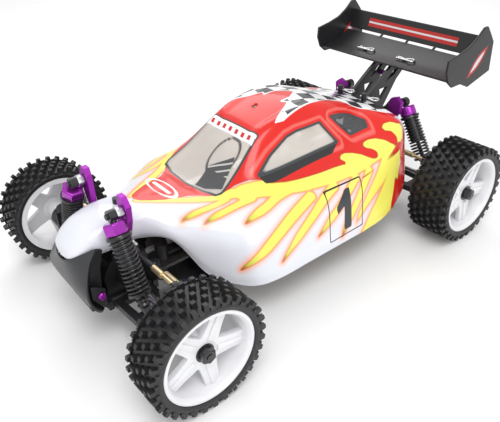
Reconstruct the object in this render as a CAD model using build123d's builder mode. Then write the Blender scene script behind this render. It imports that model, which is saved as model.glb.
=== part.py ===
"""Four-wheel-drive RC buggy, 1:10 size, as separate jointed pieces. Front is -Y, left is +X, up is +Z."""
import os
from math import asin, cos, hypot, pi, radians, sin, sqrt, tan
from build123d import *

os.makedirs("parts", exist_ok=True)

# driving sizes, mm
AXLE_F = -151.25            # front axle line
AXLE_R = 124.25             # rear axle line
AXLE_Z = 42.5               # axle height, which is also the tyre radius
TYRE_R = 42.5
PLATE_Z0, PLATE_Z1 = 25.5, 28.0     # chassis plate
PIN_R = 1.5                 # hinge pins
FIT_R = 1.6                 # running bore on a hinge pin
ARM_IN = 22.0               # inner hinge of every arm and link, from the centre line
ARM_Z = 31.5                # height of the lower hinges
OUT_F, OUT_R = 73.5, 79.0   # outer hinges, front and rear
CUP_F, CUP_R = 84.0, 83.0   # outer drive joints, front and rear (front one is also the kingpin)
LINK_Z_F, LINK_Z_R = 64.0, 62.0     # camber links
SHOCK_Y_F, SHOCK_Y_R = 7.0, 8.25    # shock plane, from the axle line
SHOCK_F = ((28.5, 103.0), (60.5, 35.0))
SHOCK_R = ((33.0, 100.0), (70.5, 36.5))
TIE_Y = AXLE_F + 16.0       # tie rods
TIE_Z = 54.5
CRANK = (16.0, -120.0)      # steering crank post
CRANK_ARM = 16.0
MODULE = 0.8                # drive gears
SPUR_T, PINION_T = 38, 14
MOTOR_Z = 46.5


def rod_x(x0, x1, y, z, r, mode=Mode.ADD):
    with Locations(((x0 + x1) / 2, y, z)):
        Cylinder(r, abs(x1 - x0), rotation=(0, 90, 0), mode=mode)


def rod_y(x, y0, y1, z, r, mode=Mode.ADD):
    with Locations((x, (y0 + y1) / 2, z)):
        Cylinder(r, abs(y1 - y0), rotation=(90, 0, 0), mode=mode)


def rod_z(x, y, z0, z1, r, mode=Mode.ADD):
    with Locations((x, y, (z0 + z1) / 2)):
        Cylinder(r, abs(z1 - z0), mode=mode)


def block(x0, x1, y0, y1, z0, z1, mode=Mode.ADD):
    with Locations(((x0 + x1) / 2, (y0 + y1) / 2, (z0 + z1) / 2)):
        Box(abs(x1 - x0), abs(y1 - y0), abs(z1 - z0), mode=mode)


def ball(x, y, z, r, mode=Mode.ADD):
    with Locations((x, y, z)):
        Sphere(r, mode=mode)


def can(z0, z1, r, mode=Mode.ADD):
    with Locations((0, 0, (z0 + z1) / 2)):
        Cylinder(r, z1 - z0, mode=mode)


def save(shape, name):
    shape.label = name
    export_step(shape, f"parts/{name}.step")
    print(name, round(shape.volume), flush=True)


def save_pair(left, name):
    save(left, name + "_left")
    with BuildPart() as right:
        mirror(left, about=Plane.YZ)
    save(right.part, name + "_right")


# ---- chassis ----
with BuildPart() as chassis:
    with BuildSketch(Plane.XY.offset(PLATE_Z0)):
        with BuildLine():
            Polyline((-16, -180), (16, -180), (16, -127), (50, -96), (50, 84), (16, 106), (16, 150),
                     (-16, 150), (-16, 106), (-50, 84), (-50, -96), (-16, -127), close=True)
        make_face()
        with Locations((0, 46.5)):
            Rectangle(22, 8, mode=Mode.SUBTRACT)        # slot for the spur gear
    extrude(amount=PLATE_Z1 - PLATE_Z0)
    for side in (-1, 1):
        block(side * 48, side * 50, -94, 82, PLATE_Z1, 38)          # side walls of the tub
        rod_z(side * CRANK[0], CRANK[1], PLATE_Z1, 58, 3.0)         # steering posts
save(chassis.part, "chassis_plate")


# ---- gearboxes with the drive cups and the holders of the inner hinge pins ----
def gearbox(axle, inward, cup_x):
    with BuildPart() as case:
        rod_x(-13, 13, axle, AXLE_Z, 14.5)
        block(-13, 13, axle - 14, axle + 14, PLATE_Z1, AXLE_Z)
        block(-13, 13, axle - 8, axle + 8, AXLE_Z, 57)
        rod_y(0, axle + inward * 10, axle + inward * 24, AXLE_Z, 7)
        rod_y(0, axle + inward * 13, axle + inward * 24, AXLE_Z, 2.35, mode=Mode.SUBTRACT)
        for side in (-1, 1):
            end = side * (cup_x + 2.7)
            rod_x(side * 13, end, axle, AXLE_Z, 6)
            rod_x(side * (cup_x - 3.6), end, axle, AXLE_Z, 4.3, mode=Mode.SUBTRACT)
            block(side * (cup_x - 1.3), end, axle - 7, axle + 7, AXLE_Z - 1.3, AXLE_Z + 1.3,
                  mode=Mode.SUBTRACT)
        for step in (-1, 1):
            near, far = axle + step * 16, axle + step * 20
            block(-26, 26, near, far, PLATE_Z1, 35)
            for side in (-1, 1):
                rod_y(side * ARM_IN, near, far, ARM_Z, PIN_R, mode=Mode.SUBTRACT)
        for side in (-1, 1):
            rod_y(side * ARM_IN, axle - 20.4, axle + 20.4, ARM_Z, PIN_R)
    return case.part


save(gearbox(AXLE_F, 1, CUP_F - OUT_F + ARM_IN), "front_gearbox")
save(gearbox(AXLE_R, -1, CUP_R - OUT_R + ARM_IN), "rear_gearbox")


# ---- shock towers, body posts and wing struts ----
def tower_plate(outline, axle, toward):
    y0, y1 = sorted((axle - toward * 1.25, axle - toward * 5.25))
    with BuildSketch(Plane.XZ.offset(-y0)) as plate:
        with BuildLine():
            Polyline(*outline, *[(-x, z) for x, z in reversed(outline[1:-1])], close=True)
        make_face()
    extrude(plate.sketch, amount=-(y1 - y0))


def tower_studs(axle, toward, shock, shock_y, link_z):
    for side in (-1, 1):
        rod_y(side * shock[0][0], axle - toward * 1.3, axle + toward * (shock_y + 4), shock[0][1], 2.0)
        rod_y(side * ARM_IN, axle - toward * 5.2, axle - toward * 10.3, link_z, PIN_R)


FRONT_PLATE = [(0, 60), (20, 60), (27, 62), (27, 68), (25.5, 76), (33, 96), (34, 107), (29, 113),
               (23.5, 113), (21.8, 108), (21.8, 69), (0, 69)]
with BuildPart() as front_tower:
    tower_plate(FRONT_PLATE, AXLE_F, -1)
    block(-13, 13, -157, -137, 57, 60)
    rod_z(0, -141, 60, 96.5, 2.5)
    rod_x(-4, 4, -141, 94, 0.9, mode=Mode.SUBTRACT)
    tower_studs(AXLE_F, -1, SHOCK_F, SHOCK_Y_F, LINK_Z_F)
save(front_tower.part, "front_tower")

REAR_PLATE = [(0, 60), (20, 60), (26, 58), (27, 66), (25, 74), (38, 95), (39, 104), (34, 108),
              (28, 106), (22, 97), (14, 92), (0, 90)]
POST_X, POST_Y = 14.0, 98.7
with BuildPart() as rear_tower:
    tower_plate(REAR_PLATE, AXLE_R, 1)
    block(-13, 13, 114, 130, 57, 60)
    tower_studs(AXLE_R, 1, SHOCK_R, SHOCK_Y_R, LINK_Z_R)
    for side in (-1, 1):
        block(side * 11, side * 17, 95.7, 119.2, 80, 85)
        rod_z(side * POST_X, POST_Y, 84, 112, 2.5)
        rod_x(side * POST_X - 4, side * POST_X + 4, POST_Y, 108.5, 0.9, mode=Mode.SUBTRACT)
    for side in (-1, 1):
        x0, x1 = sorted((side * 7.4, side * 10.4))
        with BuildSketch(Plane.YZ.offset(x0)):
            with BuildLine():
                Polyline((106, 104), (119, 88), (130, 88), (147, 112), (164, 127), (162, 132.1),
                         (156, 129.6), (146, 127), (140, 126.7), (132, 122), (112, 108), close=True)
            make_face()
            with BuildLine():
                Polyline((126, 97), (136, 108), (124, 108), close=True)
            make_face(mode=Mode.SUBTRACT)
            with BuildLine():
                Polyline((131, 113), (143, 117), (152, 124.5), (142, 121.5), close=True)
            make_face(mode=Mode.SUBTRACT)
        extrude(amount=x1 - x0)
    rod_x(-7.4, 7.4, 146.5, 114.7, 2.2)
save(rear_tower.part, "rear_tower")


# ---- front bumper scoop ----
with BuildPart() as bumper:
    with BuildSketch(Plane.YZ.offset(-32)):
        with BuildLine():
            Polyline((-171.8, 31), (-178, 34), (-187, 45), (-186.5, 60), (-184.6, 68), (-182, 68),
                     (-183.4, 60), (-183.8, 46.4), (-176.5, 37), (-171.8, 34), close=True)
        make_face()
    extrude(amount=64)
    for side in (-1, 1):
        with BuildSketch(Plane.XZ.offset(100)):
            with BuildLine():
                Polyline((side * 32.5, 30), (side * 32.5, 46), (side * 25.5, 62), (side * 22, 82),
                         (side * 60, 82), (side * 60, 30), close=True)
            make_face()
        extrude(amount=100, mode=Mode.SUBTRACT)
        with BuildSketch(Plane.YZ.offset(side * 28.2)):
            with BuildLine():
                Polyline((-171.8, 32), (-176.5, 37), (-184, 46), (-183, 55), (-175, 55), (-169, 44), close=True)
            make_face()
        extrude(amount=side * 2.2)
        with BuildSketch(Plane.YZ.offset(side * 20.6)):
            with BuildLine():
                Polyline((-184.5, 60), (-183, 67), (-170, 81), (-165, 81), (-170, 66), (-176, 55), (-184, 54), close=True)
            make_face()
        extrude(amount=side * 2.2)
    block(-16, 16, -180, -171.8, PLATE_Z1, 33)
save(bumper.part, "front_bumper")


# ---- lower arms ----
def lower_arm(axle, toward, out, shock, shock_y):
    mid = axle + toward * shock_y
    foot_x, foot_z = shock[1]
    with BuildPart() as arm:
        with BuildSketch(Plane.XY.offset(ARM_Z - 2.5)):
            with BuildLine():
                Polyline((ARM_IN, axle - 15.7), (out - 7, axle - 13.5), (out - 7, axle + 13.5),
                         (ARM_IN, axle + 15.7), close=True)
            make_face()
            with BuildLine():
                Polyline((ARM_IN + 8, axle - 10), (foot_x - 13, axle - 8.5), (foot_x - 13, axle + 8.5),
                         (ARM_IN + 8, axle + 10), close=True)
            make_face(mode=Mode.SUBTRACT)
        extrude(amount=5)
        rod_y(ARM_IN, axle - 15.7, axle + 15.7, ARM_Z, 3.5)
        for step in (-1, 1):
            block(out - 8, out, axle + step * 8.3, axle + step * 13.5, ARM_Z - 2.5, ARM_Z + 2.5)
            rod_y(out, axle + step * 8.3, axle + step * 13.5, ARM_Z, 3.5)
        lug0, lug1 = mid + toward * 2.9, mid + toward * 6.2
        block(foot_x - 3.5, foot_x + 3.5, lug0, lug1, ARM_Z, foot_z)
        rod_y(foot_x, lug0, lug1, foot_z, 3.5)
        rod_y(foot_x, mid - toward * 3.4, lug0, foot_z, 6.7, mode=Mode.SUBTRACT)
        rod_y(foot_x, mid - toward * 2.4, lug1, foot_z, PIN_R)
        rod_y(ARM_IN, axle - 16, axle + 16, ARM_Z, FIT_R, mode=Mode.SUBTRACT)
        rod_y(out, axle - 13.5, axle + 13.5, ARM_Z, PIN_R)
    return arm.part


save_pair(lower_arm(AXLE_F, -1, OUT_F, SHOCK_F, SHOCK_Y_F), "front_arm")
save_pair(lower_arm(AXLE_R, 1, OUT_R, SHOCK_R, SHOCK_Y_R), "rear_arm")


# ---- uprights ----
with BuildPart() as caster:
    block(OUT_F - 2, OUT_F + 2, AXLE_F - 8, AXLE_F + 8, ARM_Z, 37)
    block(OUT_F - 2, OUT_F + 2, AXLE_F - 10.5, AXLE_F + 10.5, 36.5, 58)
    rod_y(OUT_F, AXLE_F - 8, AXLE_F + 8, ARM_Z, 4)
    for z0, z1 in ((30, 33), (52, 55)):
        block(OUT_F, CUP_F, AXLE_F - 5.5, AXLE_F + 5.5, z0, z1)
        rod_z(CUP_F, AXLE_F, z0, z1, 5.5)
    rod_z(CUP_F, AXLE_F, 29, 56, FIT_R, mode=Mode.SUBTRACT)
    rod_x(OUT_F - 3, OUT_F + 3, AXLE_F, AXLE_Z, 8.2, mode=Mode.SUBTRACT)
    rod_y(OUT_F, AXLE_F - 9, AXLE_F + 9, ARM_Z, FIT_R, mode=Mode.SUBTRACT)
    block(OUT_F - 2, OUT_F + 2, AXLE_F - 2.75, AXLE_F + 5.25, 57, LINK_Z_F)
    rod_y(OUT_F, AXLE_F - 2.75, AXLE_F + 5.25, LINK_Z_F, 3)
    rod_y(OUT_F, AXLE_F + 5.2, AXLE_F + 10.3, LINK_Z_F, PIN_R)
save_pair(caster.part, "caster_block")

with BuildPart() as hub:
    rod_x(79.5, 92, AXLE_R, AXLE_Z, 9.3)
    block(76.8, 84, AXLE_R - 5, AXLE_R + 5, ARM_Z, 38)
    rod_y(OUT_R, AXLE_R - 8, AXLE_R + 8, ARM_Z, 4)
    block(77, 84, AXLE_R - 5.25, AXLE_R + 2.75, 50, 59)
    block(77, 81, AXLE_R - 5.25, AXLE_R + 2.75, 58, LINK_Z_R)
    rod_y(OUT_R, AXLE_R - 5.25, AXLE_R + 2.75, LINK_Z_R, 3)
    rod_y(OUT_R, AXLE_R - 5.2, AXLE_R - 10.3, LINK_Z_R, PIN_R)
    rod_x(76, 88.5, AXLE_R, AXLE_Z, 6.7, mode=Mode.SUBTRACT)
    rod_x(88, 93, AXLE_R, AXLE_Z, 2.6, mode=Mode.SUBTRACT)
    rod_y(OUT_R, AXLE_R - 9, AXLE_R + 9, ARM_Z, FIT_R, mode=Mode.SUBTRACT)
save_pair(hub.part, "hub_carrier")

with BuildPart() as knuckle:
    rod_x(80, 92.5, AXLE_F, AXLE_Z, 9)
    rod_x(79, 89.3, AXLE_F, AXLE_Z, 6.7, mode=Mode.SUBTRACT)
    rod_x(89, 93, AXLE_F, AXLE_Z, 2.6, mode=Mode.SUBTRACT)
    rod_z(CUP_F, AXLE_F, 30, 35, PIN_R)
    rod_z(CUP_F, AXLE_F, 50, 55, PIN_R)
    block(81, 87, AXLE_F + 5, TIE_Y, 48, 51)
    rod_z(CUP_F, TIE_Y, 48, 51, 3)
    rod_z(CUP_F, TIE_Y, 50.9, TIE_Z, 1)
    ball(CUP_F, TIE_Y, TIE_Z, 2.4)
save_pair(knuckle.part, "steering_knuckle")


# ---- camber links, tie rods and half shafts ----
def camber_link(y, out, z):
    with BuildPart() as link:
        rod_x(ARM_IN + 2, out - 2, y, z, 1.5)
        rod_x((ARM_IN + out) / 2 - 10, (ARM_IN + out) / 2 + 10, y, z, 2.3)
        for x in (ARM_IN, out):
            rod_y(x, y - 2.2, y + 2.2, z, 3.6)
            rod_y(x, y - 3, y + 3, z, FIT_R, mode=Mode.SUBTRACT)
    return link.part


save_pair(camber_link(AXLE_F + 7.75, OUT_F, LINK_Z_F), "front_camber_link")
save_pair(camber_link(AXLE_R - 7.75, OUT_R, LINK_Z_R), "rear_camber_link")

TIE_IN = CUP_F - OUT_F + ARM_IN
with BuildPart() as tie_rod:
    rod_x(TIE_IN + 3, CUP_F - 3, TIE_Y, TIE_Z, 1.5)
    rod_x(47.25, 69.25, TIE_Y, TIE_Z, 2.3)
    for x in (TIE_IN, CUP_F):
        rod_z(x, TIE_Y, TIE_Z - 1.8, TIE_Z + 1.8, 4)
        rod_z(x, TIE_Y, TIE_Z - 2, TIE_Z + 2, 2.5, mode=Mode.SUBTRACT)
save(tie_rod.part, "tie_rod_left")
with BuildPart() as tie_rod_right:
    with Locations((-TIE_IN - CUP_F, 0, 0)):
        add(tie_rod.part)           # the rod is the same end for end
save(tie_rod_right.part, "tie_rod_right")


def dogbone(axle, cup, out):
    inner = cup - out + ARM_IN
    with BuildPart() as shaft:
        rod_x(inner, cup, axle, AXLE_Z, 1.8)
        ball(inner, axle, AXLE_Z, 3.2)
        ball(cup, axle, AXLE_Z, 3.2)
        rod_y(inner, axle - 5, axle + 5, AXLE_Z, 1)
        rod_y(cup, axle - 4, axle + 4, AXLE_Z, 1)
    return shaft.part


save_pair(dogbone(AXLE_F, CUP_F, OUT_F), "front_dogbone")
save_pair(dogbone(AXLE_R, CUP_R, OUT_R), "rear_dogbone")


# ---- shocks ----
def shock(axle, toward, shock_y, ends, name):
    (top_x, top_z), (foot_x, foot_z) = ends
    length = hypot(foot_x - top_x, foot_z - top_z)
    down = Vector((foot_x - top_x) / length, 0, (foot_z - top_z) / length)
    frame = Plane(origin=(top_x, axle + toward * shock_y, top_z), x_dir=(0, 1, 0), z_dir=down)
    with BuildPart(frame) as body:
        Cylinder(4, 5, rotation=(0, 90, 0))
        can(2, 5.5, 2.4)
        can(5, 12.5, 6.8)
        can(12, 36, 5.9)
        can(13.2, 15.2, 8)
        can(12.6, 34, 4.5, mode=Mode.SUBTRACT)
        can(33, 37, 1.85, mode=Mode.SUBTRACT)
        Cylinder(2.1, 7, rotation=(0, 90, 0), mode=Mode.SUBTRACT)
    save_pair(body.part, name + "_shock_body")
    with BuildPart(frame) as rod:
        can(25.8, length - 4, 1.75)
        can(25.8, 27.3, 4.4)
        can(length - 22, length - 20, 8)
        can(length - 21, length - 9, 3.4)
        can(length - 10, length - 3, 2.4)
        with Locations((0, 0, length)):
            Cylinder(5, 5, rotation=(0, 90, 0))
            Cylinder(2.5, 7, rotation=(0, 90, 0), mode=Mode.SUBTRACT)
    save_pair(rod.part, name + "_shock_rod")
    tall = length - 22 - 15.2 - 1.8
    with BuildPart() as spring:
        with BuildLine() as coil:
            Helix(tall / 6.5, tall, 7.15, center=frame.origin + down * 16.1, direction=down)
        with BuildSketch(Plane(origin=coil.line @ 0, z_dir=coil.line % 0)):
            Circle(0.75)
        sweep(path=coil.line, is_frenet=True)
    save_pair(spring.part, name + "_spring")


shock(AXLE_F, -1, SHOCK_Y_F, SHOCK_F, "front")
shock(AXLE_R, 1, SHOCK_Y_R, SHOCK_R, "rear")


# ---- wheels ----
def wheel(axle, cup, x_in, x_out, hub_in, name):
    with BuildPart() as rim:
        with BuildSketch(Plane(origin=(0, axle, AXLE_Z), x_dir=(1, 0, 0), z_dir=(0, -1, 0))):
            with BuildLine():
                Polyline((x_in, 28.6), (x_out, 28.6), (x_out, 33), (x_out - 2, 33), (x_out - 2, 31),
                         (x_in + 2, 31), (x_in + 2, 33), (x_in, 33), close=True)
            make_face()
        revolve(axis=Axis((0, axle, AXLE_Z), (1, 0, 0)))
        with BuildSketch(Plane.YZ.offset(x_out - 12)):
            with Locations((axle, AXLE_Z)):
                Circle(29)
            for k in range(5):
                turn = radians(36 + 90 + 72 * k)
                window = [(11, -3), (25.5, -11.6), (27, 0), (25.5, 11.6), (11, 3)]
                with BuildLine():
                    Polyline(*[(axle + u * cos(turn) - v * sin(turn), AXLE_Z + u * sin(turn) + v * cos(turn))
                               for u, v in window], close=True)
                make_face(mode=Mode.SUBTRACT)
        extrude(amount=5)
        rod_x(hub_in, x_out - 6, axle, AXLE_Z, 8)
        rod_x(cup + 4, x_out, axle, AXLE_Z, 2.5, mode=Mode.SUBTRACT)
        rod_x(cup - 3.2, cup + 5, axle, AXLE_Z, 6.3)
        rod_x(cup - 4, cup + 3.6, axle, AXLE_Z, 4.7, mode=Mode.SUBTRACT)
        rod_x(cup + 4, x_out - 1, axle, AXLE_Z, 2.5)
        with BuildSketch(Plane.YZ.offset(x_out - 6)):
            with Locations((axle, AXLE_Z)):
                RegularPolygon(5.3, 6)
        extrude(amount=4.5)
    save_pair(rim.part, name + "_rim")
    mid, half = (x_in + x_out) / 2, (x_out - x_in) / 2
    with BuildPart() as tyre:
        with BuildSketch(Plane(origin=(mid, axle, AXLE_Z), x_dir=(1, 0, 0), z_dir=(0, -1, 0))):
            wall = [(half - 2.1, 31.0), (half - 2.1, 33.3), (half + 0.6, 33.8), (half + 1, 36), (half, 39.0)]
            with BuildLine():
                Polyline(*wall, *[(-x, r) for x, r in reversed(wall)], close=True)
            make_face()
            rows = 5 if half < 16 else 6
            for k in range(rows):
                with Locations(((k - (rows - 1) / 2) * (2 * half - 3) / (rows - 1), 40.4)):
                    Rectangle(3.2, 4.2)
            with Locations((0, 34.6)):
                Rectangle(2 * half - 8, 4.4, mode=Mode.SUBTRACT)
        revolve(axis=Axis((0, axle, AXLE_Z), (1, 0, 0)))
    save_pair(tyre.part, name + "_tyre")


wheel(AXLE_F, CUP_F, 93, 121, 93, "front")
wheel(AXLE_R, CUP_R, 83.5, 118.5, 92.5, "rear")

# ---- steering cranks, drag link, servo, horn and its link ----
CRANK_TIP = CRANK[1] + CRANK_ARM
SERVO = (-24.0, -72.0)
HORN = 10.0
with BuildPart() as crank_left:
    rod_z(CRANK[0], CRANK[1], 43, 57, 5)
    block(CRANK[0] - 3, CRANK[0] + 3, CRANK[1], CRANK_TIP, 45.5, 48.2)
    rod_z(CRANK[0], CRANK_TIP, 45.5, 48.2, 3.2)
    rod_z(CRANK[0], CRANK_TIP, 45, 49, FIT_R, mode=Mode.SUBTRACT)
    rod_z(*CRANK, 42, 58, 3.1, mode=Mode.SUBTRACT)
save(crank_left.part, "steering_crank_left")

with BuildPart() as crank_right:
    rod_z(-CRANK[0], CRANK[1], 43, 64.8, 5)
    block(-CRANK[0] - 3, -CRANK[0] + 3, CRANK[1], CRANK_TIP, 45.5, 48.2)
    rod_z(-CRANK[0], CRANK_TIP, 45.5, 48.2, 3.2)
    block(-CRANK[0] - HORN, -CRANK[0], CRANK[1] - 2.8, CRANK[1] + 2.8, 62.3, 64.8)
    rod_z(-CRANK[0] - HORN, CRANK[1], 62.3, 64.8, 2.8)
    rod_z(-CRANK[0], CRANK_TIP, 45, 49, FIT_R, mode=Mode.SUBTRACT)
    rod_z(-CRANK[0] - HORN, CRANK[1], 62, 65, 1.3, mode=Mode.SUBTRACT)
    rod_z(-CRANK[0], CRANK[1], 42, 58.4, 3.1, mode=Mode.SUBTRACT)
save(crank_right.part, "steering_crank_right")

with BuildPart() as drag:
    block(-TIE_IN - 3, TIE_IN + 3, CRANK_TIP - 3, CRANK_TIP + 3, 48.5, 51)
    for side in (-1, 1):
        block(side * (TIE_IN - 3), side * (TIE_IN + 3), TIE_Y, CRANK_TIP, 48.5, 51)
        rod_z(side * TIE_IN, TIE_Y, 48.5, 51, 3)
        rod_z(side * TIE_IN, TIE_Y, 50.9, TIE_Z, 1)
        ball(side * TIE_IN, TIE_Y, TIE_Z, 2.4)
        rod_z(side * CRANK[0], CRANK_TIP, 45.6, 48.6, PIN_R)
save(drag.part, "drag_link")

with BuildPart() as servo:
    block(SERVO[0] - 10, SERVO[0] + 10, SERVO[1] - 10, SERVO[1] + 30, PLATE_Z1, 60)
    block(SERVO[0] - 9, SERVO[0] + 9, SERVO[1] - 17, SERVO[1] + 37, 50, 52.5)
    rod_z(*SERVO, 60, 62, 5.5)
    rod_z(*SERVO, 62, 64.4, 1.9)
save(servo.part, "steering_servo")

with BuildPart() as horn:
    rod_z(*SERVO, 62.3, 64.8, 4.5)
    block(SERVO[0] - HORN, SERVO[0], SERVO[1] - 2.8, SERVO[1] + 2.8, 62.3, 64.8)
    rod_z(SERVO[0] - HORN, SERVO[1], 62.3, 64.8, 2.8)
    rod_z(SERVO[0] - HORN, SERVO[1], 62, 65, 1.3, mode=Mode.SUBTRACT)
    rod_z(*SERVO, 61, 66, 2.0, mode=Mode.SUBTRACT)
save(horn.part, "servo_horn")

LINK_A = Vector(-CRANK[0] - HORN, CRANK[1], 66.3)
LINK_B = Vector(SERVO[0] - HORN, SERVO[1], 66.3)
with BuildPart() as servo_link:
    with BuildSketch(Plane.XY.offset(65.1)):
        with Locations((LINK_A.X, LINK_A.Y), (LINK_B.X, LINK_B.Y)):
            Circle(2.4)
        make_hull()
    extrude(amount=2.2)
    for end in (LINK_A, LINK_B):
        rod_z(end.X, end.Y, 62.4, 65.2, 1.2)
save(servo_link.part, "servo_link")


# ---- centre shaft with spur gear, pinion and motor ----
def gear_face(teeth, centre, turn):
    pitch = MODULE * teeth / 2
    base, tip, root = pitch * cos(radians(20)), pitch + 0.8 * MODULE, pitch - 1.25 * MODULE
    half_thick = pi / (2 * teeth) - 0.05 / pitch        # half tooth at the pitch circle, with backlash
    spread = tan(radians(20)) - radians(20)

    def flank(r):
        if r <= base:
            return half_thick + spread
        roll = sqrt((r / base) ** 2 - 1)
        return half_thick + spread - (roll - asin(roll * base / r))

    radii = [root] + [max(root, base) + (tip - max(root, base)) * k / 4 for k in range(5)]
    points = []
    for k in range(teeth):
        mid = 2 * pi * k / teeth + turn
        points += [(r, mid - flank(r)) for r in radii] + [(r, mid + flank(r)) for r in reversed(radii)]
    with BuildLine() as outline:
        Polyline(*[(centre[0] + r * cos(a), centre[1] + r * sin(a)) for r, a in points], close=True)
    make_face(outline.edges())


GEAR_GAP = MODULE * (SPUR_T + PINION_T) / 2
MOTOR_X = -sqrt(GEAR_GAP ** 2 - (MOTOR_Z - AXLE_Z) ** 2)
LINE_ANGLE = pi - asin((MOTOR_Z - AXLE_Z) / GEAR_GAP)     # from the shaft to the motor, seen from behind
with BuildPart() as centre_shaft:
    with BuildSketch(Plane(origin=(0, 48.5, 0), x_dir=(1, 0, 0), z_dir=(0, -1, 0))):
        gear_face(SPUR_T, (0, AXLE_Z), LINE_ANGLE)
    extrude(amount=4.5)
    rod_y(0, AXLE_F + 13.4, AXLE_R - 13.4, AXLE_Z, 2.25)
    rod_y(0, 40, 44, AXLE_Z, 6)
save(centre_shaft.part, "centre_shaft")

with BuildPart() as pinion:
    with BuildSketch(Plane(origin=(0, 48.5, 0), x_dir=(1, 0, 0), z_dir=(0, -1, 0))):
        gear_face(PINION_T, (MOTOR_X, MOTOR_Z), LINE_ANGLE + pi + pi / PINION_T)
    extrude(amount=6)
    rod_y(MOTOR_X, 42, 56, MOTOR_Z, 1.55)
save(pinion.part, "pinion")

with BuildPart() as motor:
    rod_y(MOTOR_X, 52, 98, MOTOR_Z, 18)
    rod_y(MOTOR_X, 98, 99.5, MOTOR_Z, 6)
    block(-42, 8, 49.5, 52, PLATE_Z1, 62)
    rod_y(MOTOR_X, 49, 57, MOTOR_Z, 1.65, mode=Mode.SUBTRACT)
    rod_y(0, 49, 53, AXLE_Z, 2.35, mode=Mode.SUBTRACT)
save(motor.part, "motor")

with BuildPart() as battery:
    block(5, 47.5, -94, 38.5, PLATE_Z1, 51)
    fillet(battery.edges().filter_by(Axis.Y), 8)
save(battery.part, "battery")

with BuildPart() as electronics:
    block(-46, -12, -28, 8, PLATE_Z1, 45)
    for k in range(6):
        block(-44, -14, -25 + 5.5 * k, -23 + 5.5 * k, 45, 54)       # cooling fins
    block(-46, -20, 14, 38, PLATE_Z1, 44)
save(electronics.part, "electronics")

# ---- wing ----
with BuildPart() as wing:
    with BuildSketch(Plane.YZ.offset(-72.8)):
        with BuildLine():
            Polyline((133.8, 126.9), (146, 127.3), (158, 130.4), (170.2, 136.6), (170.2, 138.8),
                     (157.4, 132.8), (145.8, 129.6), (133.8, 129.2), close=True)
        make_face()
        with BuildLine():
            Polyline((173.3, 139.4), (177, 146), (180.2, 156.4), (178, 156.8), (174.8, 147), (171.6, 141), close=True)
        make_face()
    extrude(amount=145.6)
    for side in (-1, 1):
        with BuildSketch(Plane.YZ.offset(side * 72.4)):
            with BuildLine():
                Polyline((128.1, 147.6), (126.9, 138), (130.5, 128), (137.4, 122.2), (150, 122.4),
                         (162, 116.8), (193.75, 123.9), (192, 150.6), (186.4, 157.4), (179.4, 165.6),
                         (174, 165.6), (160, 156), (140, 150), close=True)
            make_face()
        extrude(amount=side * 2.2)
    for x in (-30, 0, 30):
        block(x - 1, x + 1, 169, 173.5, 137.4, 141)
save(wing.part, "wing")

# ---- body shell ----
WALL = 1.6
# half sections from the lower edge up to the roof centre, front to back
SECTIONS = {
    -184.0: [(6, 70), (8, 72), (9, 74.5), (8, 76.5), (6, 77.6), (3, 78.2), (0, 78.4)],
    -172.0: [(12, 69), (15, 73), (16, 78), (14.5, 82.5), (11, 85.5), (6, 87), (0, 87.5)],
    -155.0: [(15, 69), (18.5, 74), (19.5, 80), (18, 86.5), (14, 90.5), (8, 92.3), (0, 93)],
    -135.0: [(16, 68), (20, 74), (21, 81), (19.5, 87), (15, 90), (8, 91), (0, 91.5)],
    -120.0: [(32, 60), (36, 66), (36, 75), (30, 84), (20, 88.5), (10, 89.8), (0, 90)],
    -104.0: [(50, 40), (55, 50), (54, 68), (45, 81), (28, 87), (13, 88.5), (0, 88.5)],
    -91.0: [(66, 33), (70, 44), (67, 66), (53, 81), (33, 86.5), (16, 87.5), (0, 87.5)],
    -79.0: [(79, 33), (80, 44), (74, 68), (58, 82), (36, 88), (18, 88), (0, 87)],
    -60.0: [(83.5, 33.5), (82.5, 45), (76, 70), (56, 85), (34, 98), (18, 99.5), (0, 99.8)],
    -35.0: [(84, 34), (82.5, 45), (75, 72), (52, 89), (29.5, 116), (15, 118), (0, 118.5)],
    -15.0: [(84, 34), (82.5, 45), (74.5, 74), (49, 91), (31, 123), (17, 125.3), (0, 126)],
    8.0: [(84, 34), (82.5, 45), (74, 76), (47, 92.5), (31.5, 126), (18, 129.5), (0, 130.5)],
    30.0: [(84, 34), (82.5, 46), (73.5, 78), (46, 94), (31, 123.5), (18, 127.5), (0, 128.5)],
    55.0: [(83, 36), (81, 48), (72, 82), (46, 95), (30, 115), (18, 120), (0, 121)],
    75.0: [(78, 41), (76, 56), (69, 85), (50, 96), (30, 107.5), (18, 112), (0, 113)],
    92.0: [(71, 50), (67.5, 68), (64, 86), (57, 99), (38, 103.5), (20, 106), (0, 107)],
    104.0: [(58, 80), (57, 87), (55, 93), (50, 98), (36, 101.5), (19, 103.5), (0, 104)],
}


def inset(points, wall):
    """Half section moved in by the wall, with its lower end carried down through the open bottom."""
    inner = []
    for k, (x, z) in enumerate(points[:-1]):
        x0, z0 = points[max(k - 1, 0)]
        x1, z1 = points[k + 1]
        span = hypot(x1 - x0, z1 - z0)
        inner.append((max(x - wall * (z1 - z0) / span, 0.5), z + wall * (x1 - x0) / span))
    first = inner[0]
    return [(first[0], first[1] - 12)] + inner[1:] + [(0, points[-1][1] - wall)]


def hull(sections):
    faces = []
    for y, half in sections:
        with BuildSketch(Plane.XZ.offset(-y)) as section:
            with BuildLine():
                Polyline(*half, *[(-x, z) for x, z in reversed(half[:-1])], close=True)
            make_face()
        faces.append(section.sketch.face())
    loft(faces, ruled=True)


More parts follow.
